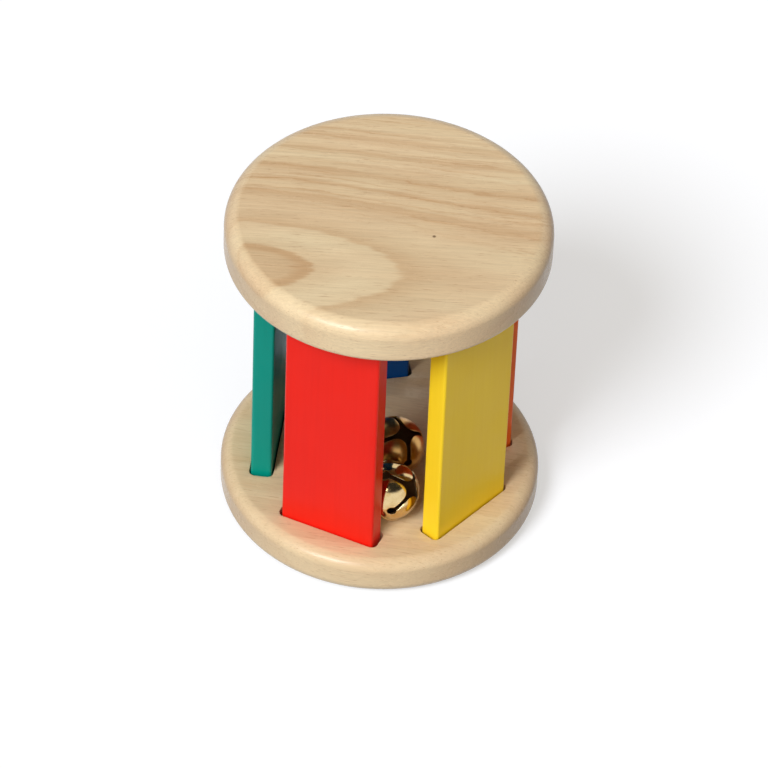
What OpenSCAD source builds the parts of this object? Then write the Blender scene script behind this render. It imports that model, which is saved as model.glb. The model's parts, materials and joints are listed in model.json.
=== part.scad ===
// Roller rattle: two round wooden ends joined by five painted slats, with two
// loose jingle bells in the cage between them. It stands on one end, with its
// axis along +Z and the origin in the middle of the lower face. The front is
// towards -Y. Turns are in degrees, from the front towards +X.

/* [Ends] */
// Diameter of each round end
disc_d = 90; // [80:1:110]
// Thickness of each round end
disc_t = 12; // [10:0.5:18]
// Roundover on the outer edge of each end
outer_round = 4; // [1:0.5:5]
// Roundover on the edge of each end that faces the slats
inner_round = 2; // [0.5:0.25:4]

/* [Slats] */
// Width of each slat
slat_w = 28; // [20:1:34]
// Thickness of each slat
slat_t = 6; // [4:0.5:9]
// Length of each slat, with the ends that sit in the slots
slat_len = 92; // [70:1:130]
// Rounding of the long edges of each slat
slat_round = 0.75; // [0.5:0.25:1.5]
// Distance from the rim of an end to the outer faces of the slats
slat_inset = 10; // [8:0.5:14]
// Depth of the blind slots in the ends
slot_depth = 7; // [4:0.5:8]
// Clearance between a slat and the walls of its slot
slot_gap = 0.1; // [0.05:0.05:0.3]
// Radius of the cutter that rounds the corners of the slots
slot_corner = 1.75; // [1.75:0.25:2.75]
// Turn of the red slat away from the front
cage_turn = -23.5; // [-36:0.5:36]

/* [Bells] */
// Diameter of each bell
bell_d = 16.5; // [14:0.5:20]
// Thickness of the pressed brass
bell_wall = 0.5; // [0.4:0.1:0.8]
// Radius of the rolled bead that crimps the halves together
crimp_r = 0.5; // [0.4:0.1:0.7]
// How far the bead stands out from the bell
crimp_out = 0.2; // [0.1:0.05:0.4]
// Clearance between the bead and the petals that it grips
crimp_gap = 0.03; // [0.02:0.01:0.1]
// Diameter of the loose pellet in each bell
pellet_d = 5; // [5:0.5:6]

/* [Petals] */
// Number of petals round the mouth of a bell
petal_count = 4; // [4:1:5]
// Width of the slots between the petals
petal_slot = 1.2; // [0.8:0.1:1.6]
// Rounding of the petal tips
petal_round = 3.2; // [2:0.2:3.4]
// Diameter of the round hole that ends each slot
hole_d = 2.6; // [2:0.2:3.2]
// Angle from the middle of the mouth to those holes
hole_angle = 62; // [52:1:66]

/* [Loops] */
// Diameter of the wire of the loop on each bell
wire_d = 0.8; // [0.6:0.1:1.2]
// Clear width inside the loop
loop_w = 1.8; // [1.6:0.1:3]
// Straight stretch of wire between the bell and the bend of the loop
loop_stem = 0.3; // [0.2:0.1:1.5]
// Length of the foot that clinches each end of the wire inside the bell
foot_len = 1.2; // [0.8:0.1:1.6]
// Clearance of the wire in its holes
wire_gap = 0.05; // [0.03:0.01:0.1]

/* [Resting places] */
// Clearance under a bell on the lower end, and under a pellet in its bell
rest_gap = 0.15; // [0.1:0.05:0.3]
// Clearance from the front bell to the red slat and to the back bell
bell_gap = 0.4; // [0.3:0.1:1]
// Turn of the front bell's place away from the red slat
front_place = 31.5; // [20:0.5:34]
// Turn of the line from the front bell to the back bell
back_line = 200.5; // [185:0.5:215]
// Turn of the front bell's mouth
front_mouth = 84; // [0:0.5:90]
// Tilt of the front bell's mouth away from straight up
front_tilt = 58; // [45:1:76]
// Turn of the back bell's mouth
back_mouth = 71.5; // [30:0.5:110]
// Tilt of the back bell's mouth away from straight up
back_tilt = 28; // [20:1:36]
// Spin of the front bell's petals about the bell's own axis
front_spin = 20; // [-45:1:45]
// Spin of the back bell's petals about the bell's own axis
back_spin = -23; // [-45:1:45]

/* [Hidden] */
$fn = 128;

WOOD = "#d8bb8f";
RED = "#ee3629";
YELLOW = "#f0c92f";
ORANGE = "#ee6a24";
BLUE = "#0f4a92";
TEAL = "#14978a";
BRASS = "#c8993c";
STEEL = "#9a9ca0";

// Cuts run this far past the faces that they open
over = 1;

// The cage
slat_count = 5;
slat_pitch = 360 / slat_count;
slat_out = disc_d / 2 - slat_inset;
slat_mid = slat_out - slat_t / 2;
slat_in = slat_out - slat_t;
cage_h = slat_len - 2 * slot_depth;
roller_h = cage_h + 2 * disc_t;

// The cutter leaves each slot's corners round, so the slot is longer than the
// slat by the room that the slat's sharper corners need there
slot_w = slat_w + 2 * (slot_corner - slat_round);
slot_t = slat_t + 2 * slot_gap;

// The bells
bell_r = bell_d / 2;
cavity_r = bell_r - bell_wall;
crimp_at = bell_r + crimp_out - crimp_r;
wire_r = wire_d / 2;
leg_at = loop_w / 2 + wire_r;
bend_at = bell_r + loop_stem;
loop_reach = bend_at + leg_at;
foot_end = leg_at + foot_len;
foot_at = sqrt(pow(cavity_r - wire_gap, 2) - pow(foot_end, 2)) - wire_r;
pellet_drop = cavity_r - rest_gap - pellet_d / 2;

// The centre of each rounded petal tip, and where it runs into its slots
petal_half = 180 / petal_count;
tip_at = (petal_slot / 2 + petal_round) / sin(petal_half);
tip_run = tip_at * cos(petal_half);

// The front bell lies on its dome, with its bead and its loop clear of the
// wood. The back bell stands on its loop and leans on the front one.
front_lift = max(bell_r, crimp_at * sin(front_tilt) + crimp_r, loop_reach * cos(front_tilt) + wire_r);
back_lift = max(bell_r, loop_reach * cos(back_tilt) + wire_r);
rest_z = disc_t + rest_gap;
front_run = (slat_in - bell_r - bell_gap) / cos(front_place);
back_run = bell_d + bell_gap;
front_at = front_run * heading(front_place) + [0, 0, rest_z + front_lift];
back_at = front_run * heading(front_place) + back_run * heading(back_line) + [0, 0, rest_z + back_lift];

// The level direction at a turn from the front
function heading(turn) = [sin(turn), -cos(turn), 0];

// A square corner outside a round of radius r that touches both its sides
module corner_waste(r) {
    difference() {
        square(r + over);
        circle(r);
    }
}

// Half the section of an end, outer face down
module disc_section() {
    difference() {
        square([disc_d / 2, disc_t]);
        translate([disc_d / 2 - outer_round, outer_round])
            mirror([0, 1]) corner_waste(outer_round);
        translate([disc_d / 2 - inner_round, disc_t - inner_round])
            corner_waste(inner_round);
    }
}

// An oblong of width w and thickness t, with corners rounded to radius r
module rounded_oblong(w, t, r) {
    straight_w = w - 2 * r;
    straight_t = t - 2 * r;
    square([w, straight_t], center = true);
    square([straight_w, t], center = true);
    for (x = [-1, 1], y = [-1, 1])
        translate([x * straight_w / 2, y * straight_t / 2]) circle(r);
}

// Puts a slat or its slot at its place round the cage
module at_slat(index) {
    rotate([0, 0, cage_turn + index * slat_pitch])
        translate([0, -slat_mid, 0]) children();
}

// A round end with its blind slots, outer face down
module disc() {
    difference() {
        rotate_extrude() disc_section();
        for (index = [0 : slat_count - 1])
            at_slat(index)
                translate([0, 0, disc_t - slot_depth])
                    linear_extrude(slot_depth + over) rounded_oblong(slot_w, slot_t, slot_corner);
    }
}

// A slat that reaches from the floor of one slot to the floor of the other
module slat(index) {
    at_slat(index)
        translate([0, 0, disc_t - slot_depth])
            linear_extrude(slat_len) rounded_oblong(slat_w, slat_t, slat_round);
}

// Half the section of a bell's wall, all the way round
module wall_section() {
    difference() {
        circle(bell_r);
        circle(cavity_r);
        translate([-bell_d, -bell_d / 2]) square(bell_d);
    }
}

// The quarter of the section above the bell's seam
module above_seam() {
    square(bell_d);
}

// The dome's wall, with the bead that is rolled over the petals' edge
module dome_section() {
    difference() {
        wall_section();
        above_seam();
    }
    difference() {
        translate([crimp_at, 0]) circle(crimp_r);
        circle(cavity_r);
        intersection() {
            circle(bell_r + crimp_gap);
            above_seam();
        }
    }
}

// The plain half of a bell, below its seam, with two holes for the wire
module bell_dome() {
    difference() {
        rotate_extrude() dome_section();
        for (side = [-1, 1])
            translate([side * leg_at, 0, -bell_d])
                cylinder(r = wire_r + wire_gap, h = bell_d);
    }
}

// What is cut away between two slots to round a petal's tip
module tip_waste() {
    difference() {
        polygon([
            [0, 0],
            [tip_run, 0],
            tip_at * [cos(petal_half), sin(petal_half)],
            tip_run * [cos(2 * petal_half), sin(2 * petal_half)]
        ]);
        rotate(petal_half) translate([tip_at, 0]) circle(petal_round);
    }
}

// A slot from the middle of the mouth to its round hole
module petal_cut() {
    rotate([90, 0, 0])
        linear_extrude(petal_slot, center = true)
            polygon([[0, 0], [0, bell_d], bell_d * [sin(hole_angle), cos(hole_angle)]]);
    rotate([0, hole_angle, 0]) cylinder(d = hole_d, h = bell_d);
}

// The half of a bell above its seam, cut into petals round the mouth
module bell_petals() {
    difference() {
        rotate_extrude() intersection() {
            wall_section();
            above_seam();
        }
        for (petal = [0 : petal_count - 1])
            rotate([0, 0, petal * 2 * petal_half]) {
                petal_cut();
                linear_extrude(bell_d) tip_waste();
            }
    }
}

// A wire bent into a loop, with each end clinched inside the dome
module bell_loop() {
    translate([0, 0, -bend_at])
        rotate([-90, 0, 0])
            rotate_extrude(angle = 180) translate([leg_at, 0]) circle(wire_r);
    for (side = [0, 180])
        rotate([0, 0, side]) {
            translate([leg_at, 0, -bend_at]) cylinder(r = wire_r, h = bend_at - foot_at);
            translate([leg_at, 0, -foot_at]) sphere(wire_r);
            translate([leg_at, 0, -foot_at])
                rotate([0, 90, 0]) cylinder(r = wire_r, h = foot_len);
        }
}

// Puts a bell at its place in the cage, with its mouth along tilt and mouth
module at_bell(place, mouth, tilt) {
    rotate([0, 0, cage_turn])
        translate(place) rotate([0, 0, mouth]) rotate([tilt, 0, 0]) children();
}

// Puts a piece of the front bell at its place
module at_front_bell() {
    at_bell(front_at, front_mouth, front_tilt) children();
}

// Puts a piece of the back bell at its place
module at_back_bell() {
    at_bell(back_at, back_mouth, back_tilt) children();
}

// The loose pellet at the bottom of a bell's cavity
module pellet(place) {
    rotate([0, 0, cage_turn])
        translate(place - [0, 0, pellet_drop]) sphere(d = pellet_d);
}

module top_disc() { color(WOOD) translate([0, 0, roller_h]) mirror([0, 0, 1]) disc(); }
module bottom_disc() { color(WOOD) disc(); }
module slat_red() { color(RED) slat(0); }
module slat_yellow() { color(YELLOW) slat(1); }
module slat_orange() { color(ORANGE) slat(2); }
module slat_blue() { color(BLUE) slat(3); }
module slat_teal() { color(TEAL) slat(4); }
module front_bell_dome() { color(BRASS) at_front_bell() bell_dome(); }
module front_bell_petals() { color(BRASS) at_front_bell() rotate([0, 0, front_spin]) bell_petals(); }
module front_bell_loop() { color(BRASS) at_front_bell() bell_loop(); }
module front_bell_pellet() { color(STEEL) pellet(front_at); }
module back_bell_dome() { color(BRASS) at_back_bell() bell_dome(); }
module back_bell_petals() { color(BRASS) at_back_bell() rotate([0, 0, back_spin]) bell_petals(); }
module back_bell_loop() { color(BRASS) at_back_bell() bell_loop(); }
module back_bell_pellet() { color(STEEL) pellet(back_at); }

top_disc();
bottom_disc();
slat_red();
slat_yellow();
slat_orange();
slat_blue();
slat_teal();
front_bell_dome();
front_bell_petals();
front_bell_loop();
front_bell_pellet();
back_bell_dome();
back_bell_petals();
back_bell_loop();
back_bell_pellet();
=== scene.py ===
"""Roller rattle: two lacquered wooden ends, five painted slats and two loose brass bells.

Sizes in the classes are in millimetres and turns are in degrees, as in the part's source.
Meshes and places in the scene are in metres.
"""

import json
import logging
from collections.abc import Iterable, Sequence
from dataclasses import dataclass, field
from enum import Enum
from math import acos, asin, atan2, cos, degrees, exp, hypot, pi, radians, sin, sqrt
from typing import ClassVar

import bmesh
import bpy
from mathutils import Matrix, Vector
from mathutils.geometry import delaunay_2d_cdt, tessellate_polygon

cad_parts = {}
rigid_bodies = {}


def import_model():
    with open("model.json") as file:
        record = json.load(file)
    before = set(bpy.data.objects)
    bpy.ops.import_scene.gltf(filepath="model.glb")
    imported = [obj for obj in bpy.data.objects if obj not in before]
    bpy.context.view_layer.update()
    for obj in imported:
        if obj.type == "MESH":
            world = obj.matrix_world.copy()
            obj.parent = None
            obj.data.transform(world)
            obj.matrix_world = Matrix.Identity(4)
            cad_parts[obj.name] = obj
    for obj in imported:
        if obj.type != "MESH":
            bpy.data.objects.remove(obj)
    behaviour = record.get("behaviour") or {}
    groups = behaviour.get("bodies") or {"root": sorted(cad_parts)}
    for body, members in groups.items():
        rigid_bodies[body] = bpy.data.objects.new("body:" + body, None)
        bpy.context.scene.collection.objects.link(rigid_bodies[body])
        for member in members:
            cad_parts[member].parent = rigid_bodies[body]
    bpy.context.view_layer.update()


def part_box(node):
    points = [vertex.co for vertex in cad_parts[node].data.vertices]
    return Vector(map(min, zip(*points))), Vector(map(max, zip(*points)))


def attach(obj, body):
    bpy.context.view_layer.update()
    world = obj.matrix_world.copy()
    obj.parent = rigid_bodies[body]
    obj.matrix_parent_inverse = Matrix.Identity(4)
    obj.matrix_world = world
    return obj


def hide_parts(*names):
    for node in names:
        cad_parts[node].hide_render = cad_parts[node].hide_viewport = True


LOG = logging.getLogger("roller_rattle")

MM = 0.001
WELD = 0.0004
MID_ROUND = 0.3

Spot = tuple[float, float]
Triple = tuple[float, float, float]
Colour = Triple
Socket = bpy.types.NodeSocket
Node = bpy.types.Node
Tree = bpy.types.NodeTree
Piece = bpy.types.Object


def paint_code(*levels: int) -> Colour:
    """Turns a screen colour, with parts from 0 to 255, into a linear one with parts from 0 to 1."""
    shares = [level / 255 for level in levels]
    return tuple(s / 12.92 if s <= 0.04045 else ((s + 0.055) / 1.055) ** 2.4 for s in shares)


def arc(start: float, end: float, steps: int) -> list[float]:
    """Returns steps + 1 turns in radians, evenly from start to end in degrees."""
    return [radians(start + (end - start) * k / steps) for k in range(steps + 1)]


def circle(radius: float, count: int, x: float = 0.0) -> list[Spot]:
    """Returns points evenly round a circle whose centre lies at x on the X axis."""
    turns = [2 * pi * k / count for k in range(count)]
    return [(x + radius * cos(t), radius * sin(t)) for t in turns]


class Shell:
    """A mesh in the making, with its points in millimetres."""

    def __init__(self) -> None:
        """Starts with no points and no faces."""
        self.points: list[Vector] = []
        self.faces: list[tuple[int, ...]] = []

    def add(self, points: Iterable[Sequence[float]]) -> list[int]:
        """Adds points in order.

        Args:
            points: The points, three numbers each.

        Returns:
            Their numbers in the mesh.
        """
        first = len(self.points)
        self.points.extend(Vector(point) for point in points)
        return list(range(first, len(self.points)))

    def bridge(self, one: list[int], two: list[int], closed: bool = True) -> None:
        """Joins two rows of points with four-sided faces.

        Args:
            one: The first row.
            two: The second row, with as many points.
            closed: Whether the last points are joined to the first ones.
        """
        count = len(one)
        for k in range(count if closed else count - 1):
            n = (k + 1) % count
            self.faces.append((one[k], one[n], two[n], two[k]))

    def skin(self, rows: Sequence[list[int]], closed: bool = True) -> None:
        """Joins each row of points to the next one."""
        for one, two in zip(rows, rows[1:]):
            self.bridge(one, two, closed)

    def close(self, *rows: list[int]) -> None:
        """Closes each row of points with one face."""
        self.faces.extend(tuple(row) for row in rows)

    def lathe(self, profile: Sequence[Spot], count: int) -> list[list[int]]:
        """Turns a profile about the Z axis.

        Args:
            profile: Radius and height of each point, in order.
            count: Number of points round each ring.

        Returns:
            The rings, in the order of the profile.
        """
        rings = [self.add((x, y, height) for x, y in circle(radius, count)) for radius, height in profile]
        self.skin(rings)
        return rings

    def fill(self, outline: list[int], holes: Sequence[list[int]]) -> None:
        """Fills a flat outline with triangles, round its holes.

        Args:
            outline: The points of the outline.
            holes: The points of each hole.
        """
        order = list(outline) + [number for hole in holes for number in hole]
        rows = [[self.points[number] for number in row] for row in (outline, *holes)]
        for corners in tessellate_polygon(rows):
            self.faces.append(tuple(order[corner] for corner in corners))

    def piece(self, name: str, sharp: float) -> Piece:
        """Makes the object.

        Args:
            name: Name of the piece.
            sharp: Angle in degrees above which an edge stays sharp.

        Returns:
            The object, with its mesh in metres.
        """
        mesh = bpy.data.meshes.new(name)
        mesh.from_pydata([point * MM for point in self.points], [], self.faces)
        work = bmesh.new()
        work.from_mesh(mesh)
        bmesh.ops.remove_doubles(work, verts=work.verts, dist=WELD * MM)
        bmesh.ops.recalc_face_normals(work, faces=work.faces)
        work.to_mesh(mesh)
        work.free()
        mesh.shade_smooth()
        mesh.set_sharp_from_angle(angle=radians(sharp))
        made = bpy.data.objects.new(name, mesh)
        bpy.context.scene.collection.objects.link(made)
        return made


class Bench:
    """Adds and links shader nodes in one tree."""

    def __init__(self, tree: Tree) -> None:
        """Empties the given tree and works in it."""
        self.tree = tree
        tree.nodes.clear()

    @classmethod
    def fresh(cls, owner: bpy.types.Material | bpy.types.World) -> "Bench":
        """Empties the owner's node tree and works in it."""
        owner.use_nodes = True
        return cls(owner.node_tree)

    def node(self, kind: str, *values: object, **settings: object) -> Node:
        """Adds a node, sets its options and feeds its inputs.

        Args:
            kind: The node's type name.
            *values: Sockets or plain values for its first inputs, in order.
            **settings: Options of the node by name.

        Returns:
            The node.
        """
        made = self.tree.nodes.new(kind)
        for name, value in settings.items():
            setattr(made, name, value)
        for socket, value in zip(made.inputs, values):
            self.feed(socket, value)
        return made

    def dress(self, made: Node, **values: object) -> Node:
        """Feeds a node's inputs by name.

        Args:
            made: The node.
            **values: Sockets or plain values by the inputs' names, with _ for a space.

        Returns:
            The node.
        """
        for name, value in values.items():
            self.feed(made.inputs[name.replace("_", " ")], value)
        return made

    def feed(self, socket: Socket, value: object) -> None:
        """Links a socket to another one, or sets it to a plain value.

        Args:
            socket: The input.
            value: The other socket, or the plain value.
        """
        if isinstance(value, Socket):
            self.tree.links.new(value, socket)
        elif isinstance(value, tuple) and len(value) == 3 and socket.type == "RGBA":
            socket.default_value = (*value, 1.0)
        else:
            socket.default_value = value

    def math(self, operation: str, *values: object, clamp: bool = False) -> Socket:
        """Adds a Math node fed with sockets or numbers, and returns its result."""
        return self.node("ShaderNodeMath", *values, operation=operation, use_clamp=clamp).outputs[0]

    def vector(self, operation: str, *values: object) -> Socket:
        """Adds a Vector Math node and returns its vector, or its value for LENGTH and DOT_PRODUCT."""
        made = self.node("ShaderNodeVectorMath", *values, operation=operation)
        return made.outputs["Value" if operation in ("LENGTH", "DOT_PRODUCT") else "Vector"]

    def spread(self, value: Socket, low: float, high: float, start: float = 0.0,
               end: float = 1.0) -> Socket:
        """Maps a value smoothly from one range to another.

        Args:
            value: The value.
            low: Value that gives start.
            high: Value that gives end.
            start: First result.
            end: Last result.

        Returns:
            The mapped value, kept in its range.
        """
        made = self.node("ShaderNodeMapRange", value, low, high, start, end,
                         interpolation_type="SMOOTHSTEP")
        return made.outputs[0]

    def mix(self, share: object, one: object, two: object, blend: str = "MIX") -> Socket:
        """Mixes two colours.

        Args:
            share: Share of the second colour.
            one: The first colour.
            two: The second colour.
            blend: How they are mixed.

        Returns:
            The mixed colour.
        """
        made = self.node("ShaderNodeMix", data_type="RGBA", blend_type=blend)
        for number, value in ((0, share), (6, one), (7, two)):
            self.feed(made.inputs[number], value)
        return made.outputs[2]

    def noise(self, place: Socket, stretch: Triple, detail: float, rough: float = 0.5) -> Socket:
        """Adds a noise whose size is given along each axis.

        Args:
            place: Where the noise is read, in millimetres.
            stretch: Features for each millimetre along X, Y and Z.
            detail: Number of finer layers.
            rough: Weight of the finer layers.

        Returns:
            The noise, about 0.5 on average.
        """
        made = self.node("ShaderNodeTexNoise", noise_dimensions="3D")
        scaled = self.vector("MULTIPLY", place, stretch)
        return self.dress(made, Vector=scaled, Scale=1.0, Detail=detail, Roughness=rough).outputs[0]

    def split(self, place: Socket) -> tuple[Socket, ...]:
        """Returns X, Y and Z of a place or a direction."""
        return tuple(self.node("ShaderNodeSeparateXYZ", place).outputs)

    def group(self, tree: Tree, **values: object) -> Node:
        """Places a node group with its inputs fed by name, and returns its node."""
        return self.dress(self.node("ShaderNodeGroup", node_tree=tree), **values)

    def millimetres(self, origin: Triple = (0.0, 0.0, 0.0), turn: float = 0.0) -> Socket:
        """Reads the place on the piece in millimetres.

        Args:
            origin: Where the place counts from, in millimetres.
            turn: Turn of the axes about Z, in degrees.

        Returns:
            The place.
        """
        place = self.node("ShaderNodeTexCoord").outputs["Object"]
        moved = self.vector("ADD", place, tuple(-part * MM for part in origin))
        made = self.node("ShaderNodeMapping", vector_type="POINT")
        self.dress(made, Vector=moved, Rotation=(0.0, 0.0, -radians(turn)), Scale=(1 / MM,) * 3)
        return made.outputs[0]


class Effect:
    """A node group that several materials share, built once. It reads a place and numbers by name."""

    name = "effect"
    inputs: tuple[str, ...] = ()
    outputs: tuple[str, ...] = ()

    @classmethod
    def tree(cls) -> Tree:
        """Finds the group, and builds it at the first call.

        Returns:
            The group.
        """
        found = bpy.data.node_groups.get(cls.name)
        if found:
            return found
        made = bpy.data.node_groups.new(cls.name, "ShaderNodeTree")
        sockets = [("Vector", "INPUT", "NodeSocketVector")]
        sockets += [(name, "INPUT", "NodeSocketFloat") for name in cls.inputs]
        sockets += [(name, "OUTPUT", "NodeSocketFloat") for name in cls.outputs]
        for name, way, kind in sockets:
            made.interface.new_socket(name=name, in_out=way, socket_type=kind)
        bench = Bench(made)
        given = bench.node("NodeGroupInput")
        result = bench.node("NodeGroupOutput")
        for name, value in cls.wire(bench, given).items():
            bench.feed(result.inputs[name], value)
        return made

    @classmethod
    def wire(cls, bench: Bench, given: Node) -> dict[str, Socket]:
        """Wires the inside of the group and returns its outputs by name."""
        raise NotImplementedError


class WoodFigure(Effect):
    """Growth, fibres and pores of a board, with the grain along X and the pith at the origin.

    The rings crowd below the pith, as they do in a trunk that leaned.
    """

    name = "wood_figure"
    inputs = ("Taper", "Bow", "Sway")
    outputs = ("Growth", "Line", "Fibre", "Pore")
    crowding: ClassVar[float] = -2.5
    ragged_depth: ClassVar[float] = 2.6

    @classmethod
    def wire(cls, bench: Bench, given: Node) -> dict[str, Socket]:
        """Wires the distance from the pith, feathered along the fibres.

        Args:
            bench: Where the nodes go.
            given: The group's inputs.

        Returns:
            The group's outputs by name.
        """
        place = given.outputs["Vector"]
        along, across, above = bench.split(place)
        sway = bench.math("SUBTRACT", bench.noise(place, (0.02, 0.06, 0.06), 1.0), 0.5)
        across = bench.math("MULTIPLY_ADD", sway, given.outputs["Sway"], across)
        lean = bench.math("MULTIPLY_ADD", along, given.outputs["Bow"], given.outputs["Taper"])
        above = bench.math("MULTIPLY_ADD", along, lean, above)
        above = bench.math("MAXIMUM", above, bench.math("MULTIPLY", above, cls.crowding))
        squares = bench.math("MULTIPLY_ADD", across, across, bench.math("MULTIPLY", above, above))
        ragged = bench.noise(place, (0.08, 0.6, 0.6), 3.0, 0.6)
        ragged = bench.math("MULTIPLY_ADD", ragged, cls.ragged_depth, -cls.ragged_depth / 2)
        growth = bench.math("ADD", bench.math("SQRT", squares), ragged)
        bands = bench.node("ShaderNodeCombineXYZ", along, growth)
        fibre = bench.noise(place, (0.06, 2.2, 2.2), 4.0, 0.7)
        pore = bench.noise(place, (0.22, 3.2, 3.2), 2.0, 0.5)
        return {
            "Growth": growth,
            "Line": bench.noise(bands.outputs[0], (0.016, 1.3, 1.0), 3.0, 0.6),
            "Fibre": fibre,
            "Pore": bench.spread(pore, 0.6, 0.74),
        }


class Handling(Effect):
    """Uneven gloss and faint rubs that a handled toy picks up."""

    name = "handling"
    outputs = ("Smudge", "Rub", "Ripple")

    @classmethod
    def wire(cls, bench: Bench, given: Node) -> dict[str, Socket]:
        """Wires the smudges, the rubs and the ripple of the coat.

        Args:
            bench: Where the nodes go.
            given: The group's inputs.

        Returns:
            The group's outputs by name.
        """
        place = given.outputs["Vector"]
        return {
            "Smudge": bench.spread(bench.noise(place, (0.09, 0.09, 0.09), 3.0, 0.6), 0.35, 0.7),
            "Rub": bench.spread(bench.noise(place, (0.6, 2.4, 0.6), 4.0, 0.65), 0.52, 0.72),
            "Ripple": bench.noise(place, (0.7, 0.7, 0.35), 2.0, 0.45),
        }


class Finish:
    """A finish that is wired once into a material of its own."""

    label: str
    relief: float
    wired: ClassVar[dict[str, bpy.types.Material]] = {}

    def material(self) -> bpy.types.Material:
        """Finds the material, and wires it at the first call.

        Returns:
            The material.
        """
        if self.label in Finish.wired:
            return Finish.wired[self.label]
        made = bpy.data.materials.new(self.label)
        Finish.wired[self.label] = made
        bench = Bench.fresh(made)
        shader = bench.node("ShaderNodeBsdfPrincipled")
        bench.node("ShaderNodeOutputMaterial", shader.outputs[0])
        self.wire(bench, shader)
        return made

    def wire(self, bench: Bench, shader: Node) -> None:
        """Wires the finish into its shader."""
        raise NotImplementedError

    def coat(self, bench: Bench, shader: Node, colour: Socket, rough: Socket, height: Socket) -> None:
        """Gives the shader its colour, its roughness and its bump.

        Args:
            bench: Where the nodes go.
            shader: The shader.
            colour: The base colour.
            rough: The roughness.
            height: The bump's height, which stands out by the relief in millimetres at 1.
        """
        made = bench.node("ShaderNodeBump")
        bench.dress(made, Strength=1.0, Distance=self.relief * MM, Height=height)
        bench.dress(shader, Base_Color=colour, Roughness=rough, Normal=made.outputs[0])


@dataclass(frozen=True)
class PaleWood(Finish):
    """Satin lacquered pale wood, cut from one board.

    The rings are radii from the pith with the darkness that the wood reaches there, from 0 to 1.
    Outside the flat face the rings fade, so the rounded edge is paler.
    """

    label: str
    pith: Triple
    grain_turn: float
    taper: float
    bow: float
    sway: float
    rings: tuple[Spot, ...]
    flecks: tuple[tuple[Triple, float], ...] = ()
    face: float = 41.0
    face_rings: float = 0.75
    edge_rings: float = 0.3
    thin_lines: float = 0.35
    thin_from: Spot = (21.0, 29.0)
    streak_depth: float = 0.1
    pore_share: float = 0.4
    end_share: float = 0.45
    gloss: Spot = (0.24, 0.32)
    shine: float = 0.3
    relief: float = 0.02
    early: Colour = paint_code(229, 211, 176)
    late: Colour = paint_code(193, 154, 112)
    blush: Colour = paint_code(226, 202, 167)
    pore: Colour = paint_code(160, 117, 80)
    fleck: Colour = paint_code(96, 70, 48)
    end: Colour = paint_code(168, 134, 102)

    def rings_at(self, bench: Bench, growth: Socket) -> Socket:
        """Draws the rings against the distance from the pith.

        Args:
            bench: Where the nodes go.
            growth: The distance from the pith, in millimetres.

        Returns:
            The darkness of the rings.
        """
        reach = self.rings[-1][0]
        ramp = bench.node("ShaderNodeValToRGB", bench.math("DIVIDE", growth, reach))
        ramp.color_ramp.interpolation = "EASE"
        elements = ramp.color_ramp.elements
        for number, (radius, level) in enumerate(self.rings):
            stop = elements[number] if number < 2 else elements.new(radius / reach)
            stop.position = radius / reach
            stop.color = (level, level, level, 1.0)
        return ramp.outputs[0]

    def end_grain(self, bench: Bench) -> Socket:
        """Finds how much of the darker end grain shows.

        Args:
            bench: Where the nodes go.

        Returns:
            The share of its colour.
        """
        facing = bench.node("ShaderNodeTexCoord").outputs["Normal"]
        turn = radians(self.grain_turn)
        along = bench.vector("DOT_PRODUCT", facing, (cos(turn), sin(turn), 0.0))
        return bench.spread(bench.math("ABSOLUTE", along), 0.3, 1.0, 0.0, self.end_share)

    def wire(self, bench: Bench, shader: Node) -> None:
        """Wires the board's figure under a satin coat.

        Args:
            bench: Where the nodes go.
            shader: The shader.
        """
        place = bench.millimetres(self.pith, self.grain_turn)
        figure = bench.group(WoodFigure.tree(), Vector=place, Taper=self.taper, Bow=self.bow,
                             Sway=self.sway)
        handling = bench.group(Handling.tree(), Vector=place)
        growth, line, fibre, pore = figure.outputs
        warm = bench.spread(bench.noise(place, (0.02, 0.07, 0.07), 2.0), 0.35, 0.65, 0.0, 0.8)
        colour = bench.mix(warm, self.early, self.blush)
        out = bench.vector("LENGTH", bench.vector("MULTIPLY", bench.millimetres(), (1.0, 1.0, 0.0)))
        # Past the flat face the rings fade, which leaves the rounded edge paler.
        ring_fade = bench.spread(out, self.face - 0.4, self.face + 1.2, self.face_rings, self.edge_rings)
        late = bench.math("MULTIPLY", self.rings_at(bench, growth), ring_fade)
        thin = bench.math("MULTIPLY", bench.spread(line, 0.48, 0.72, 0.0, self.thin_lines),
                          bench.spread(growth, *self.thin_from))
        late = bench.math("ADD", late, thin, clamp=True)
        colour = bench.mix(late, colour, self.late)
        colour = bench.mix(self.end_grain(bench), colour, self.end)
        streak = bench.spread(fibre, 0.28, 0.72, 1.0 - self.streak_depth, 1.0 + self.streak_depth / 2)
        grey = bench.node("ShaderNodeCombineColor", streak, streak, streak)
        colour = bench.mix(1.0, colour, grey.outputs[0], "MULTIPLY")
        colour = bench.mix(bench.math("MULTIPLY", pore, self.pore_share), colour, self.pore)
        for spot, radius in self.flecks:
            away = bench.vector("LENGTH", bench.millimetres(spot))
            colour = bench.mix(bench.spread(away, radius * 0.3, radius, 0.8, 0.0), colour, self.fleck)
        rough = bench.spread(handling.outputs["Smudge"], 0.0, 1.0, *self.gloss)
        shader.inputs["Specular IOR Level"].default_value = self.shine
        dip = bench.math("MULTIPLY_ADD", pore, -0.6, bench.math("MULTIPLY", fibre, 0.5))
        height = bench.math("MULTIPLY_ADD", handling.outputs["Ripple"], 0.4, dip)
        self.coat(bench, shader, colour, rough, height)


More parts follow.
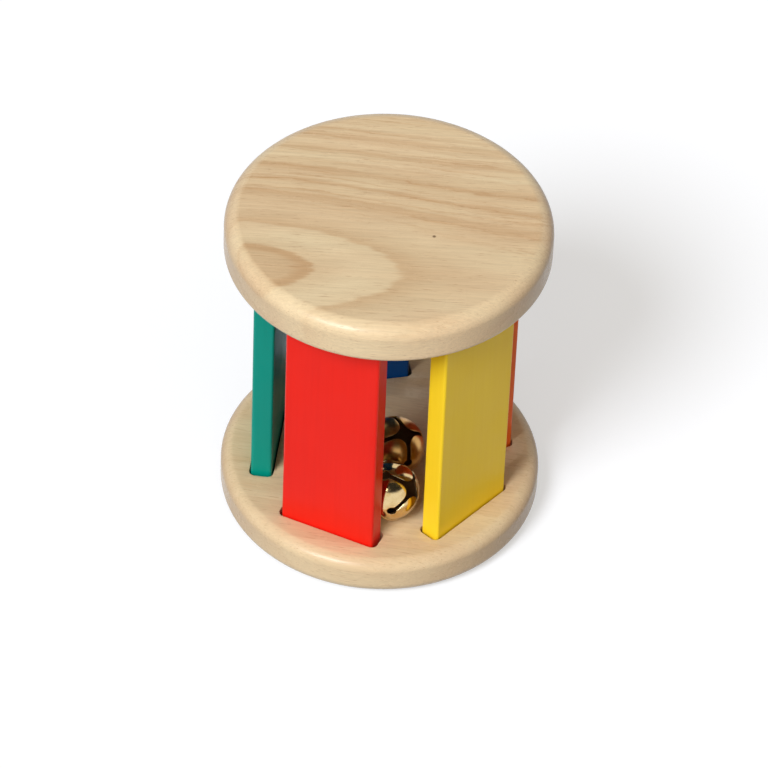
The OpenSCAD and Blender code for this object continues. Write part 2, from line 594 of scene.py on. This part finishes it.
@dataclass(frozen=True)
class SlatPaint(Finish):
    """Satin paint on a wooden slat."""

    label: str
    colour: Colour
    deep: Colour
    gloss: Spot = (0.33, 0.38)
    shine: float = 0.18
    relief: float = 0.025

    def wire(self, bench: Bench, shader: Node) -> None:
        """Wires an even coat that lets the wood's grain show faintly.

        Args:
            bench: Where the nodes go.
            shader: The shader.
        """
        place = bench.millimetres()
        handling = bench.group(Handling.tree(), Vector=place)
        grain = bench.noise(place, (0.9, 0.9, 0.03), 3.0, 0.6)
        cloud = bench.noise(place, (0.05, 0.05, 0.03), 2.0)
        share = bench.math("MULTIPLY_ADD", bench.spread(grain, 0.35, 0.7), 0.14,
                           bench.spread(cloud, 0.35, 0.7, 0.0, 0.2))
        colour = bench.mix(share, self.colour, self.deep)
        rough = bench.spread(handling.outputs["Smudge"], 0.0, 1.0, *self.gloss)
        shader.inputs["Specular IOR Level"].default_value = self.shine
        height = bench.math("MULTIPLY_ADD", grain, 0.5,
                            bench.math("MULTIPLY", handling.outputs["Ripple"], 0.5))
        self.coat(bench, shader, colour, rough, height)


@dataclass(frozen=True)
class PressedBrass(Finish):
    """Polished brass that is dull inside the bell, where its dark brown colour is painted shade for the
    hollow.
    """

    label: str
    gloss: Spot
    cavity_radius: float = 7.75
    inner_dull: float = 0.3
    inner_metal: float = 0.2
    relief: float = 0.02
    polished: Colour = paint_code(228, 203, 152)
    toned: Colour = paint_code(206, 168, 104)
    # Dark brown inside the bell: painted shade for the hollow.
    inside: Colour = paint_code(128, 92, 56)

    def wire(self, bench: Bench, shader: Node) -> None:
        """Wires the polish outside, and inside the dull metal with its painted shade.

        Args:
            bench: Where the nodes go.
            shader: The shader.
        """
        place = bench.millimetres()
        handling = bench.group(Handling.tree(), Vector=place)
        outward = bench.vector("LENGTH", place)
        inner = bench.spread(outward, self.cavity_radius + 0.05, self.cavity_radius + 0.2, 1.0, 0.0)
        tone = bench.noise(place, (0.25, 0.25, 0.25), 3.0, 0.6)
        colour = bench.mix(bench.spread(tone, 0.4, 0.7, 0.0, 0.7), self.polished, self.toned)
        # Inside the bell the colour turns dark brown, a painted shade for the hollow. The rougher, less
        # metallic surface there is the bell's own unpolished inside.
        colour = bench.mix(inner, colour, self.inside)
        rough = bench.spread(handling.outputs["Rub"], 0.0, 1.0, *self.gloss)
        rough = bench.math("MULTIPLY_ADD", inner, self.inner_dull, rough)
        bench.feed(shader.inputs["Metallic"], bench.spread(inner, 0.0, 1.0, 1.0, self.inner_metal))
        self.coat(bench, shader, colour, rough, handling.outputs["Ripple"])


@dataclass(frozen=True)
class TumbledSteel(Finish):
    """Grey steel shot, dulled by its tumbling."""

    label: str
    gloss: Spot = (0.3, 0.5)
    relief: float = 0.03
    bright: Colour = paint_code(176, 178, 182)
    dull: Colour = paint_code(120, 120, 122)

    def wire(self, bench: Bench, shader: Node) -> None:
        """Wires the small knocks of a loose pellet.

        Args:
            bench: Where the nodes go.
            shader: The shader.
        """
        place = bench.millimetres()
        handling = bench.group(Handling.tree(), Vector=place)
        knock = bench.spread(bench.noise(place, (1.4, 1.4, 1.4), 3.0), 0.4, 0.65)
        colour = bench.mix(knock, self.bright, self.dull)
        rough = bench.spread(handling.outputs["Rub"], 0.0, 1.0, *self.gloss)
        shader.inputs["Metallic"].default_value = 1.0
        self.coat(bench, shader, colour, rough, knock)


class Body(Enum):
    """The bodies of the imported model."""

    CAGE = "cage"
    FRONT_BELL = "front_bell"
    FRONT_PELLET = "front_pellet"
    BACK_BELL = "back_bell"
    BACK_PELLET = "back_pellet"


class Slot(Enum):
    """The record's material slots."""

    WOOD = "pale_wood"
    RED = "red_paint"
    YELLOW = "yellow_paint"
    ORANGE = "orange_paint"
    BLUE = "blue_paint"
    TEAL = "teal_paint"
    BRASS = "bright_brass"
    STEEL = "steel_pellet"


def settle(piece: Piece, finish: Finish, body: Body, node: str) -> None:
    """Dresses a piece and puts it in its node's stead.

    Args:
        piece: The piece, in its place.
        finish: Its finish.
        body: The body that it rides on.
        node: The solid that it stands for.
    """
    piece.data.materials.append(finish.material())
    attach(piece, body.value)
    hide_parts(node)
    LOG.info("%s: %d faces, rides on %s", piece.name, len(piece.data.polygons), body.value)


@dataclass(frozen=True)
class SlatPlan:
    """How the slats and their slots stand round the cage."""

    count: int = 5
    turn: float = -23.5
    width: float = 28.0
    thickness: float = 6.0
    edge_round: float = 0.75
    middle: float = 32.0
    slot_depth: float = 7.0
    slot_gap: float = 0.4
    slot_corner: float = 1.75
    corner_steps: int = 8
    long_runs: tuple[float, ...] = (-0.98, -0.6, -0.2, 0.2, 0.6, 0.98)
    short_runs: tuple[float, ...] = (-0.9, 0.0, 0.9)

    def at(self, index: int, spot: Spot) -> Spot:
        """Puts a spot of a slat's section at its place round the cage.

        Args:
            index: The slat's number.
            spot: Sideways and inward from the middle of the section.

        Returns:
            X and Y in the cage.
        """
        angle = radians(self.turn + index * 360 / self.count)
        x, y = spot[0], spot[1] - self.middle
        return (x * cos(angle) - y * sin(angle),
                x * sin(angle) + y * cos(angle))

    def section(self, inset: float = 0.0) -> list[Spot]:
        """Returns the rounded outline of a slat, drawn in by inset."""
        return self.oblong(self.width / 2 - inset, self.thickness / 2 - inset, self.edge_round - inset)

    def slot_outline(self, widen: float = 0.0) -> list[Spot]:
        """Draws the outline of a slot, with its corners as the cutter leaves them.

        Args:
            widen: How far the outline is let out.

        Returns:
            The points of the outline, in order.
        """
        half_width = self.width / 2 + self.slot_corner - self.edge_round + widen
        half_thickness = self.thickness / 2 + self.slot_gap + widen
        return self.oblong(half_width, half_thickness, self.slot_corner + widen)

    def row(self, shell: Shell, index: int, outline: list[Spot], height: float) -> list[int]:
        """Adds an outline to a mesh at a slat's place and returns its points."""
        return shell.add((*self.at(index, spot), height) for spot in outline)

    def oblong(self, half_width: float, half_thickness: float, r: float) -> list[Spot]:
        """Draws an oblong with round corners.

        Args:
            half_width: Half its width.
            half_thickness: Half its thickness.
            r: Radius of its corners.

        Returns:
            The points of its outline, in order.
        """
        spots: list[Spot] = []
        for quarter, (sx, sy) in enumerate(((1, 1), (-1, 1), (-1, -1), (1, -1))):
            centre = (sx * (half_width - r), sy * (half_thickness - r))
            for t in arc(90 * quarter, 90 * quarter + 90, self.corner_steps):
                spots.append((centre[0] + r * cos(t), centre[1] + r * sin(t)))
            wide = quarter % 2 == 0
            for run in self.long_runs if wide else self.short_runs:
                if wide:
                    spots.append((-sx * run * (half_width - r), sy * half_thickness))
                else:
                    spots.append((sx * half_width, -sy * run * (half_thickness - r)))
        return spots


class Facing(Enum):
    """Which way the outer face of an end looks."""

    DOWN = 1
    UP = -1


@dataclass
class WoodenEnd:
    """A round wooden end with rounded edges and blind slots for the slats."""

    name: str
    node: str
    facing: Facing
    finish: PaleWood
    plan: SlatPlan
    outer_round: float = 4.0
    inner_round: float = 2.0
    crease: float = 12.0
    broken_edge: float = 0.3
    face_margin: float = 0.35
    count: int = 240
    round_steps: int = 14
    sharp: float = 35.0

    def profile(self, radius: float, thick: float) -> list[Spot]:
        """Returns the section's edge from the outer face to the inner one.

        Args:
            radius: Radius of the end.
            thick: Thickness of the end.

        Returns:
            Radius and depth from the outer face of each point.
        """
        ro, ri = self.outer_round, self.inner_round
        first = radians(self.crease)
        wide, deep = 1 / (1 - sin(first)), 1 / cos(first)
        curve = [(1 - wide + wide * sin(t), 1 - deep * cos(t))
                 for t in arc(self.crease, 90, self.round_steps)]
        spots = [(radius - ro - self.face_margin, 0.0)]
        spots += [(radius - ro + ro * out, ro * down) for out, down in curve]
        spots += [(radius, ro + (thick - ro - ri) * share) for share in (0.08, 0.5, 0.92)]
        spots += [(radius - ri + ri * out, thick - ri * down) for out, down in reversed(curve)]
        spots.append((radius - ri - self.face_margin, thick))
        return spots

    def make(self) -> None:
        """Turns the end, cuts its slots and dresses it."""
        low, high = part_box(self.node)
        radius, thick = (high.x - low.x) / 2 / MM, (high.z - low.z) / MM
        shell = Shell()
        rings = shell.lathe(self.profile(radius, thick), self.count)
        shell.close(rings[0])
        mouths = [self.slot(shell, index, thick) for index in range(self.plan.count)]
        shell.fill(rings[-1], mouths)
        base = (low.z if self.facing is Facing.DOWN else high.z) / MM
        for point in shell.points:
            point.z = base + self.facing.value * point.z
        settle(shell.piece(self.name, self.sharp), self.finish, Body.CAGE, self.node)

    def slot(self, shell: Shell, index: int, thick: float) -> list[int]:
        """Cuts one blind slot with a broken edge round its mouth.

        Args:
            shell: The mesh of the end.
            index: The slot's number.
            thick: Thickness of the end.

        Returns:
            The points of the mouth.
        """
        plan, edge = self.plan, self.broken_edge
        mid = edge * MID_ROUND
        steps = ((edge, 0.0), (mid, mid), (0.0, edge), (0.0, plan.slot_depth))
        rows = [plan.row(shell, index, plan.slot_outline(widen), thick - depth) for widen, depth in steps]
        shell.skin(rows)
        shell.close(rows[-1])
        return rows[0]


@dataclass
class Slat:
    """A painted slat that stands in a slot of each end."""

    name: str
    node: str
    index: int
    slot: Slot
    finish: SlatPaint
    plan: SlatPlan
    end_ease: float = 0.4
    steps: int = 24
    sharp: float = 40.0

    def make(self) -> None:
        """Draws the rounded section along the slat, with eased ends, and dresses it."""
        low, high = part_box(self.node)
        bottom, top = low.z / MM, high.z / MM
        ease = self.end_ease
        mid = ease * MID_ROUND
        plain = top - bottom - 2 * ease
        rows = [(bottom, ease), (bottom + mid, mid)]
        rows += [(bottom + ease + plain * k / self.steps, 0.0) for k in range(self.steps + 1)]
        rows += [(top - mid, mid), (top, ease)]
        shell = Shell()
        plan = self.plan
        rings = [plan.row(shell, self.index, plan.section(inset), height) for height, inset in rows]
        shell.skin(rings)
        shell.close(rings[0], rings[-1])
        settle(shell.piece(self.name, self.sharp), self.finish, Body.CAGE, self.node)


@dataclass
class JingleBell:
    """A pressed brass bell: a plain cup, a petalled mouth, a wire loop and a loose pellet."""

    name: str
    bell_body: Body
    pellet_body: Body
    mouth_turn: float
    mouth_tilt: float
    petal_spin: float
    brass: PressedBrass
    steel: TumbledSteel
    radius: float = 8.25
    wall: float = 0.5
    bead: float = 0.5
    bead_out: float = 0.2
    bead_gap: float = 0.03
    petals: int = 4
    petal_slot: float = 1.2
    petal_round: float = 3.2
    hole: float = 2.6
    hole_angle: float = 62.0
    soft_edge: float = 0.12
    soft_mid: float = 0.29
    wire: float = 0.8
    wire_gap: float = 0.05
    loop_width: float = 1.8
    loop_stem: float = 0.3
    foot: float = 1.2
    pellet_drop: float = 5.1
    parting_line: float = 0.03
    parting_width: float = 5.0
    cap: float = 3.2
    cap_rings: int = 12
    cap_clear: float = 0.12
    around: int = 120
    hole_points: int = 28
    cup_steps: int = 26
    bead_steps: int = 12
    tip_steps: int = 12
    slot_steps: int = 12
    hole_steps: int = 16
    seam_steps: int = 7
    petal_columns: int = 20
    wire_points: int = 20
    wire_end: tuple[Spot, ...] = ((0.0, 0.55), (0.12, 0.85), (0.4, 1.0))
    elbow: float = 1.05
    sharp: float = 50.0
    pellet_sharp: float = 40.0
    cavity: float = field(init=False)
    leg: float = field(init=False)

    def __post_init__(self) -> None:
        """Works out the cavity and the place of the wire's legs."""
        self.cavity = self.radius - self.wall
        self.leg = (self.loop_width + self.wire) / 2

    def pellet_centre(self) -> Vector:
        """Returns the middle of the pellet's solid."""
        low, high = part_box(f"{self.name}_pellet")
        return (low + high) / 2

    def place(self) -> Matrix:
        """Finds how the bell lies.

        Returns:
            The place of its centre, with its mouth along +Z.
        """
        centre = self.pellet_centre() + Vector((0.0, 0.0, self.pellet_drop * MM))
        turn = Matrix.Rotation(radians(self.mouth_turn), 4, "Z")
        tilt = Matrix.Rotation(radians(self.mouth_tilt), 4, "X")
        return Matrix.Translation(centre) @ turn @ tilt

    def cup(self) -> Piece:
        """Presses the plain half, with the bead that is rolled over the petals' edge.

        Returns:
            The piece.
        """
        r, c, bead = self.radius, self.cavity, self.bead
        ring = r + self.bead_out - bead
        lip = r + self.bead_gap

        def meets(sphere: float) -> float:
            """Angle round the bead, in degrees, at which it meets a sphere."""
            x = (sphere ** 2 - bead ** 2 + ring ** 2) / (2 * ring)
            return degrees(atan2(sqrt(sphere ** 2 - x ** 2), x - ring))

        low = degrees(asin(self.cap / r))
        foot = -meets(r)
        turn = radians(foot)
        high = degrees(atan2(ring + bead * cos(turn), -(bead * sin(turn))))
        top = meets(lip)
        lip_high = 90 - degrees(asin(bead * sin(radians(top)) / lip))
        inner_low = degrees(asin(self.cap / c))
        profile = [(r * sin(t), -r * cos(t)) for t in arc(low, high, self.cup_steps)]
        rolled = arc(foot, top, self.bead_steps)[1:]
        profile += [(ring + bead * cos(t), bead * sin(t)) for t in rolled]
        profile += [(lip * sin(t), lip * cos(t)) for t in arc(lip_high, 90, 3)[1:]]
        profile += [(c * sin(t), -c * cos(t)) for t in arc(90, inner_low, self.cup_steps)]
        shell = Shell()
        shell.lathe(profile, self.around)
        for walls in zip(self.polar_cap(shell, r), self.polar_cap(shell, c)):
            shell.bridge(*walls)
        return shell.piece(f"{self.name}_cup", self.sharp)

    def polar_cap(self, shell: Shell, sphere: float) -> list[list[int]]:
        """Adds the middle of the cup, with the two holes for the wire.

        Args:
            shell: The mesh of the cup.
            sphere: Radius of the surface.

        Returns:
            The points round each hole.
        """
        hole = self.wire / 2 + self.wire_gap

        def from_hole(x: float, y: float) -> float:
            """Distance of a spot from the middle of the nearer hole."""
            return min(hypot(x - side * self.leg, y) for side in (-1, 1))

        def lift(x: float, y: float) -> Triple:
            """Puts a spot on the surface."""
            return x, y, -sqrt(sphere ** 2 - x ** 2 - y ** 2)

        rounds = [circle(hole, self.hole_points, side * self.leg) for side in (-1, 1)]
        spots: list[Spot] = []
        edges: list[tuple[int, int]] = []
        for outline in (circle(self.cap, self.around), *rounds):
            first, count = len(spots), len(outline)
            spots += outline
            edges += [(first + k, first + (k + 1) % count) for k in range(count)]
        for ring in range(1, self.cap_rings):
            inner = circle(self.cap * ring / self.cap_rings, 8 * ring)
            spots += [spot for spot in inner if from_hole(*spot) > hole + self.cap_clear]
        found = delaunay_2d_cdt([Vector(spot) for spot in spots], edges, [], 0, 1e-6)
        numbers = shell.add(lift(*point) for point in found[0])
        for face in found[2]:
            middle = sum((found[0][k] for k in face), Vector((0.0, 0.0))) / len(face)
            if from_hole(*middle) > hole * 0.98:
                shell.faces.append(tuple(numbers[k] for k in face))
        return [shell.add(lift(*spot) for spot in outline) for outline in rounds]

    def petal_rows(self, sphere: float, inset: float) -> list[Spot]:
        """Follows half a petal's outline from its tip to the seam.

        Args:
            sphere: Radius of the surface.
            inset: How far the outline is drawn in.

        Returns:
            Angle from the mouth's middle and half the petal's spread, in radians, for each row.
        """
        quarter = pi / self.petals
        slot = self.petal_slot / 2 + inset
        tip = self.petal_round - inset
        tip_at = (self.petal_slot / 2 + self.petal_round) / sin(quarter)
        rows: list[Spot] = []
        for t in arc(0, 90 - degrees(quarter), self.tip_steps):
            x, y = tip_at - tip * cos(t), tip * sin(t)
            rows.append((asin(hypot(x, y) / sphere), atan2(y, x)))
        centre = radians(self.hole_angle)
        wide = asin((self.hole / 2 + inset) / sphere)

        def hole_spot(t: float) -> Spot:
            """Finds a spot on the edge of the round hole.

            Args:
                t: Turn round the hole, 0 at its far side.

            Returns:
                Angle from the mouth's middle and half the petal's spread.
            """
            x = cos(wide) * sin(centre) + sin(wide) * cos(t) * cos(centre)
            z = cos(wide) * cos(centre) - sin(wide) * cos(t) * sin(centre)
            y = sin(wide) * sin(t)
            return acos(z), quarter - atan2(y, x)

        meet = pi - asin(slot / (sphere * sin(wide)))
        near, far = rows[-1][0], hole_spot(meet)[0]
        for k in range(1, self.slot_steps):
            a = near + (far - near) * k / self.slot_steps
            rows.append((a, quarter - asin(slot / (sphere * sin(a)))))
        rows += [hole_spot(meet * (1 - k / self.hole_steps)) for k in range(self.hole_steps + 1)]
        far = rows[-1][0]
        left = pi / 2 - far
        rows += [(far + left * k / self.seam_steps, quarter) for k in range(1, self.seam_steps + 1)]
        return rows

    def mouth(self) -> Piece:
        """Presses the half with the petals, their slots and the round holes.

        Returns:
            The piece.
        """
        across, edge = self.petal_columns, self.soft_edge
        mid = self.soft_mid * edge
        layers = ((self.radius, edge), (self.radius - mid, mid), (self.radius - edge, 0.0),
                  (self.cavity + edge, 0.0), (self.cavity + mid, mid), (self.cavity, edge))
        walled = self.tip_steps + self.slot_steps + self.hole_steps + 1
        shell = Shell()
        for petal in range(self.petals):
            middle = radians((petal + 0.5) * 360 / self.petals + self.petal_spin)
            sheets = []
            for sphere, inset in layers:
                rows = self.petal_rows(sphere, inset)
                sheets.append([shell.add(self.on_sphere(sphere, a, middle + half * (2 * k / across - 1))
                                         for k in range(across + 1)) for a, half in rows])
            shell.skin(sheets[0], closed=False)
            shell.skin(sheets[-1], closed=False)
            for pair in zip(sheets, sheets[1:]):
                for side in (0, across):
                    shell.bridge(*([row[side] for row in sheet[:walled]] for sheet in pair), closed=False)
            shell.bridge(sheets[0][-1], sheets[-1][-1], closed=False)
        return shell.piece(f"{self.name}_mouth", self.sharp)

    @staticmethod
    def on_sphere(sphere: float, angle: float, turn: float) -> Triple:
        """Returns a point of a sphere by its angle from +Z and its turn, in radians."""
        level = sphere * sin(angle)
        return level * cos(turn), level * sin(turn), sphere * cos(angle)

    def loop(self) -> Piece:
        """Bends the wire into a loop whose ends are clinched inside the cup.

        Returns:
            The piece.
        """
        r = self.wire / 2
        bend = self.radius + self.loop_stem
        tip = self.leg + self.foot
        foot = sqrt((self.cavity - self.wire_gap) ** 2 - tip ** 2) - r
        elbow = r * self.elbow
        half = [(tip - r * back, foot, r * size) for back, size in self.wire_end]
        half += [(self.leg + elbow - elbow * sin(t), foot + elbow - elbow * cos(t), r)
                 for t in arc(0, 90, 6)]
        half += [(self.leg * cos(t), bend + self.leg * sin(t), r) for t in arc(0, 90, 12)]
        path = half + [(-x, depth, size) for x, depth, size in reversed(half[:-1])]
        shell = Shell()
        side = Vector((0.0, 1.0, 0.0))
        rows: list[list[int]] = []
        for k, (x, depth, size) in enumerate(path):
            before, after = path[max(k - 1, 0)], path[min(k + 1, len(path) - 1)]
            run = Vector((after[0] - before[0], 0.0, before[1] - after[1])).normalized()
            out = run.cross(side)
            spot = Vector((x, 0.0, -depth))
            rows.append(shell.add(spot + size * (cos(t) * out + sin(t) * side)
                                  for t in arc(0, 360, self.wire_points)[:-1]))
        shell.skin(rows)
        shell.close(rows[0], rows[-1])
        return shell.piece(f"{self.name}_wire", self.sharp)

    def shot(self) -> Piece:
        """Casts the loose pellet, with its faint parting line.

        Returns:
            The piece, about its own centre.
        """
        low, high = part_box(f"{self.name}_pellet")
        r = (high.z - low.z) / 2 / MM - self.parting_line
        profile: list[Spot] = []
        for t in arc(4, 176, 43):
            off_line = (degrees(t) - 90) / self.parting_width
            swell = self.parting_line * exp(-off_line ** 2)
            profile.append(((r + swell) * sin(t), (r + swell) * cos(t)))
        shell = Shell()
        rings = shell.lathe(profile, 64)
        shell.close(rings[0], rings[-1])
        return shell.piece(f"{self.name}_shot", self.pellet_sharp)

    def make(self) -> None:
        """Builds and dresses the bell and its pellet."""
        place = self.place()
        for piece, node in ((self.cup(), "dome"), (self.mouth(), "petals"), (self.loop(), "loop")):
            piece.matrix_world = place
            settle(piece, self.brass, self.bell_body, f"{self.name}_{node}")
        shot = self.shot()
        shot.matrix_world = Matrix.Translation(self.pellet_centre())
        settle(shot, self.steel, self.pellet_body, f"{self.name}_pellet")


@dataclass
class Studio:
    """The pale floor, the soft light and the camera."""

    key_from: Triple = (-0.4, -0.585, 0.706)
    key_level: float = 0.8
    key_spread: float = 22.0
    front: Triple = (0.1, -0.995, 0.0)
    front_level: float = 0.88
    sky_level: float = 0.16
    overhead_level: float = 0.185
    right_dim: float = 0.62
    room_tint: Colour = (1.02, 0.9, 0.75)
    floor_tint: Colour = (1.0, 1.06, 1.16)
    ceiling: float = 0.03
    overhead_from: Spot = (0.3, 1.0)
    right_from: Spot = (0.1, 0.9)
    ceiling_from: Spot = (0.5, 0.62)
    floor_grey: float = 0.55
    floor_glow: float = 0.49
    floor_bounce: float = 0.2
    floor_size: float = 8.0
    floor_drop: float = 0.1
    sight_height: float = 51.0
    sight_drop: float = 8.92
    elevation: float = 44.03
    roll: float = 2.393
    distance: float = 1535.0
    lens: float = 258.7

    def key(self) -> None:
        """Adds the far soft lamp, whose level is the brightness of a white face turned to it."""
        data = bpy.data.lights.new("key", "SUN")
        data.energy = self.key_level * pi
        data.angle = radians(self.key_spread)
        made = bpy.data.objects.new("key", data)
        made.rotation_mode = "QUATERNION"
        made.rotation_quaternion = Vector(self.key_from).to_track_quat("Z", "Y")
        bpy.context.scene.collection.objects.link(made)

    @staticmethod
    def seen(bench: Bench) -> Socket:
        """Tells the rays that look from those that only light.

        Args:
            bench: Where the nodes go.

        Returns:
            1 for what the camera, metal and glass see, and 0 for what only lights.
        """
        rays = bench.node("ShaderNodeLightPath")
        seen = bench.math("MAXIMUM", rays.outputs["Is Camera Ray"], rays.outputs["Is Glossy Ray"])
        return bench.math("MAXIMUM", seen, rays.outputs["Is Transmission Ray"])

    def sky(self) -> None:
        """Lights the room from the front and from above, less from the right, under a pale horizon."""
        world = bpy.data.worlds.new("studio_room")
        bench = Bench.fresh(world)
        way = bench.node("ShaderNodeTexCoord").outputs["Generated"]
        right, _, above = bench.split(way)
        ahead = bench.vector("DOT_PRODUCT", way, self.front)
        lit = bench.math("ADD", bench.spread(above, *self.overhead_from, 0.0, self.overhead_level),
                         bench.spread(ahead, 0.0, 1.0, self.sky_level, self.sky_level + self.front_level))
        lit = bench.math("MULTIPLY", lit, bench.spread(right, *self.right_from, 1.0, self.right_dim))
        shown = bench.spread(above, *self.ceiling_from, 1.0, self.ceiling)
        seen = self.seen(bench)
        level = bench.node("ShaderNodeMix", data_type="FLOAT")
        for number, value in ((0, seen), (2, lit), (3, shown)):
            bench.feed(level.inputs[number], value)
        tint = bench.mix(seen, self.room_tint, (1.0, 1.0, 1.0))
        back = bench.node("ShaderNodeBackground", tint, level.outputs[0])
        bench.node("ShaderNodeOutputWorld", back.outputs[0])
        bpy.context.scene.world = world

    def floor(self) -> None:
        """Lays a pale floor that looks white where no shadow falls."""
        material = bpy.data.materials.new("pale_floor")
        bench = Bench.fresh(material)
        seen = self.seen(bench)
        levels = (self.floor_bounce, self.floor_grey)
        tones = [tuple(level * part for part in self.floor_tint) for level in levels]
        matt = bench.node("ShaderNodeBsdfDiffuse", bench.mix(seen, *tones))
        glow = bench.node("ShaderNodeEmission")
        bench.dress(glow, Strength=bench.math("MULTIPLY", seen, self.floor_glow))
        both = bench.node("ShaderNodeAddShader", matt.outputs[0], glow.outputs[0])
        bench.node("ShaderNodeOutputMaterial", both.outputs[0])
        shell = Shell()
        half = self.floor_size / 2 / MM
        corners = ((-half, -half), (half, -half), (half, half), (-half, half))
        shell.close(shell.add((x, y, -self.floor_drop) for x, y in corners))
        made = shell.piece("floor", 40.0)
        made.data.materials.append(material)

    def camera(self) -> None:
        """Sets the camera at the photograph's viewing angle."""
        rise = radians(self.elevation)
        back = Vector((0.0, -cos(rise), sin(rise)))
        sight = Vector((0.0, 0.0, self.sight_height))
        spot = sight + back * self.distance
        _, up = self.axes(back)
        back = (spot - (sight - up * self.sight_drop)).normalized()
        right, up = self.axes(back)
        turn = Matrix((right, up, back)).transposed().to_4x4()
        data = bpy.data.cameras.new("camera")
        data.sensor_width = 36.0
        data.lens = self.lens
        data.clip_start = 0.05
        data.clip_end = 100.0
        made = bpy.data.objects.new("camera", data)
        made.matrix_world = Matrix.Translation(spot * MM) @ turn
        bpy.context.scene.collection.objects.link(made)
        bpy.context.scene.camera = made

    def axes(self, back: Vector) -> tuple[Vector, Vector]:
        """Finds the camera's directions, with its roll.

        Args:
            back: The direction from what it looks at to the camera.

        Returns:
            Its right and its up direction.
        """
        level = Vector((0.0, 0.0, 1.0)).cross(back).normalized()
        rise = back.cross(level)
        roll = radians(self.roll)
        return (level * cos(roll) + rise * sin(roll),
                rise * cos(roll) - level * sin(roll))

    def make(self) -> None:
        """Sets up the studio."""
        self.camera()
        self.floor()
        self.sky()
        self.key()
        bpy.context.scene.view_settings.view_transform = "Standard"
        LOG.info("studio: floor, light and camera are set")


TOP_WOOD = PaleWood(
    "pale_wood_top", pith=(-0.55, -22.56, 85.84), grain_turn=-1.38, taper=0.3155, bow=-0.003, sway=0.6,
    rings=((0.0, 0.5), (5.6, 0.62), (7.8, 1.0), (8.4, 0.95), (9.3, 0.25), (13.8, 0.0), (17.0, 0.1),
           (17.9, 0.66), (20.6, 0.36), (23.8, 0.13), (27.0, 0.24), (31.0, 0.67), (31.9, 0.33),
           (34.2, 0.2), (36.2, 0.73), (37.2, 0.2), (39.2, 0.31), (41.0, 0.69), (42.9, 0.32), (45.0, 0.3),
           (45.8, 0.02), (48.4, 0.24), (49.7, 0.66), (50.7, 0.3), (52.2, 0.0), (54.4, 0.28), (55.9, 0.52),
           (57.3, 0.14), (58.6, 0.34), (59.9, 0.04), (63.5, 0.3), (70.0, 0.1)),
    flecks=(((12.3, -7.0, 102.0), 0.7),))
BASE_WOOD = PaleWood(
    "pale_wood_base", pith=(0.0, 34.0, -26.0), grain_turn=-9.0, taper=0.08, bow=0.0, sway=3.0,
    thin_lines=0.14, streak_depth=0.07,
    early=paint_code(220, 200, 165), blush=paint_code(216, 191, 156),
    rings=((0.0, 0.2), (36.0, 0.2), (38.5, 0.4), (40.0, 0.08), (45.5, 0.35), (46.6, 0.04), (52.5, 0.3),
           (53.6, 0.08), (58.0, 0.4), (59.2, 0.1), (66.0, 0.34), (67.0, 0.06), (73.0, 0.3), (74.0, 0.06),
           (80.0, 0.36), (81.2, 0.1), (88.0, 0.3), (92.0, 0.1)))
BRIGHT_BRASS = PressedBrass("polished_brass", gloss=(0.13, 0.22))
# The back bell's brass is browner and darker than the front bell's. This is painted shade, because that
# bell lies deeper in the cage's shadow. Its rougher gloss is the bell's own dull rub.
RUBBED_SHADED_BRASS = PressedBrass("rubbed_shaded_brass", gloss=(0.28, 0.4),
                            polished=paint_code(206, 162, 98), toned=paint_code(166, 116, 58))
STEEL = TumbledSteel("tumbled_steel")
PAINTS = tuple(
    (name, Slot[name.upper()], SlatPaint(f"satin_{name}", paint_code(*colour), paint_code(*deep)))
    for name, colour, deep in (
        ("red", (234, 32, 18), (216, 24, 14)),
        ("yellow", (250, 216, 42), (238, 196, 28)),
        ("orange", (238, 106, 36), (220, 88, 28)),
        ("blue", (8, 84, 164), (6, 68, 142)),
        ("teal", (0, 150, 136), (0, 130, 116)),
    )
)


def main() -> None:
    """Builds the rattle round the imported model, piece by piece."""
    logging.basicConfig(level=logging.INFO, format="%(message)s")
    for old in list(bpy.data.objects):
        bpy.data.objects.remove(old)
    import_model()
    Studio().make()
    plan = SlatPlan()
    WoodenEnd("top_end", "top_disc", Facing.UP, TOP_WOOD, plan).make()
    WoodenEnd("lower_end", "bottom_disc", Facing.DOWN, BASE_WOOD, plan, inner_round=3.25).make()
    for index, (colour, slot, finish) in enumerate(PAINTS):
        Slat(f"{colour}_slat", f"slat_{colour}", index, slot, finish, plan).make()
    JingleBell("front_bell", Body.FRONT_BELL, Body.FRONT_PELLET, mouth_turn=60.5, mouth_tilt=58.0,
               petal_spin=20.0, brass=BRIGHT_BRASS, steel=STEEL).make()
    JingleBell("back_bell", Body.BACK_BELL, Body.BACK_PELLET, mouth_turn=48.0, mouth_tilt=28.0,
               petal_spin=-23.0, brass=RUBBED_SHADED_BRASS, steel=STEEL).make()


if __name__ == "__main__":
    main()
